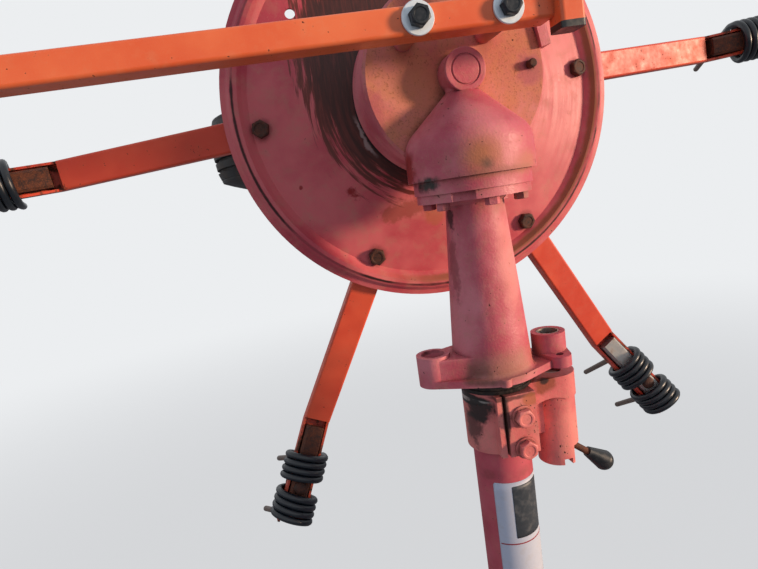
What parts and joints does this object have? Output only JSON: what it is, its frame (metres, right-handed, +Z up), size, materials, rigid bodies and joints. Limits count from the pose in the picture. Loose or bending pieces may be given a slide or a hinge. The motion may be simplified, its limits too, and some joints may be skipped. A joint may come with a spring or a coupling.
{
  "type": "hay tedder rotor unit",
  "caption": "Tined rotor with gearbox, boom and gauge wheel, folded up for the road; the rotor and wheel spin and the head swivels on its boom.",
  "frame": {"origin": "middle of the fold hinge at the boom's foot, on the hinge's axis and the boom's axis", "axes": "+X along the fold hinge, +Y along the rotor's axis from the gearbox to the tine side, +Z up along the boom"},
  "size_m": [1.4056, 0.5728, 1.4633],
  "materials": {
    "cast_paint": "faded red paint on castings and sheet",
    "arm_paint": "red-orange paint on tube",
    "guard_paint": "bright orange paint on tube",
    "rim_paint": "pale painted wheel",
    "tine_steel": "black spring steel, worn bright at the tips",
    "rusty_steel": "rusty steel",
    "bare_steel": "bare machined steel",
    "greased_steel": "steel under old grease",
    "black_plastic": "black plastic",
    "tyre": "black tyre rubber"
  },
  "bodies": {
    "boom": {"hinge_fork": "cast_paint", "boom_tube": "cast_paint", "swivel_ring": "greased_steel", "latch_clamp": "cast_paint", "latch_pin": "bare_steel", "latch_lever": "rusty_steel", "latch_knob": "black_plastic"},
    "drive": {"drive_shaft": "bare_steel", "drive_yoke": "bare_steel"},
    "head": {"swivel_casting": "cast_paint", "latch_bush": "bare_steel", "gearbox": "cast_paint", "boss_plug": "cast_paint", "guard_bar": "guard_paint", "guard_bow": "guard_paint", "bow_cap_left": "black_plastic", "bow_cap_right": "black_plastic", "spindle": "cast_paint", "wheel_leg": "cast_paint", "wheel_axle": "bare_steel"},
    "rotor": {"rotor_disc": "cast_paint", "rotor_hub": "cast_paint", "arm_1": "arm_paint", "arm_2": "arm_paint", "arm_3": "arm_paint", "arm_4": "arm_paint", "arm_5": "arm_paint", "arm_6": "arm_paint", "tine_clip_1": "rusty_steel", "tine_clip_2": "rusty_steel", "tine_clip_3": "rusty_steel", "tine_clip_4": "rusty_steel", "tine_clip_5": "rusty_steel", "tine_clip_6": "rusty_steel", "tine_1": "tine_steel", "tine_2": "tine_steel", "tine_3": "tine_steel", "tine_4": "tine_steel", "tine_5": "tine_steel", "tine_6": "tine_steel"},
    "wheel": {"wheel_rim": "rim_paint", "tyre": "tyre"}
  },
  "joints": [
    {"name": "boom_swivel", "type": "hinge", "parent": "boom", "child": "head", "pos_m": [0, 0, 0.5], "axis": [0, 0, 1], "range_deg": [-20, 20]},
    {"name": "rotor_spin", "type": "hinge", "parent": "head", "child": "rotor", "pos_m": [0, 0.126, 0.8], "axis": [0, 1, 0], "continuous": true},
    {"name": "drive_spin", "type": "hinge", "parent": "boom", "child": "drive", "pos_m": [0, 0, 0.1], "axis": [0, 0, 1], "continuous": true},
    {"name": "wheel_spin", "type": "hinge", "parent": "head", "child": "wheel", "pos_m": [-0.124, 0.334, 0.786], "axis": [0, 0, 1], "continuous": true}
  ],
  "couplings": [
    {"joint": "drive_spin", "follows": "rotor_spin", "ratio": -3.4}
  ]
}
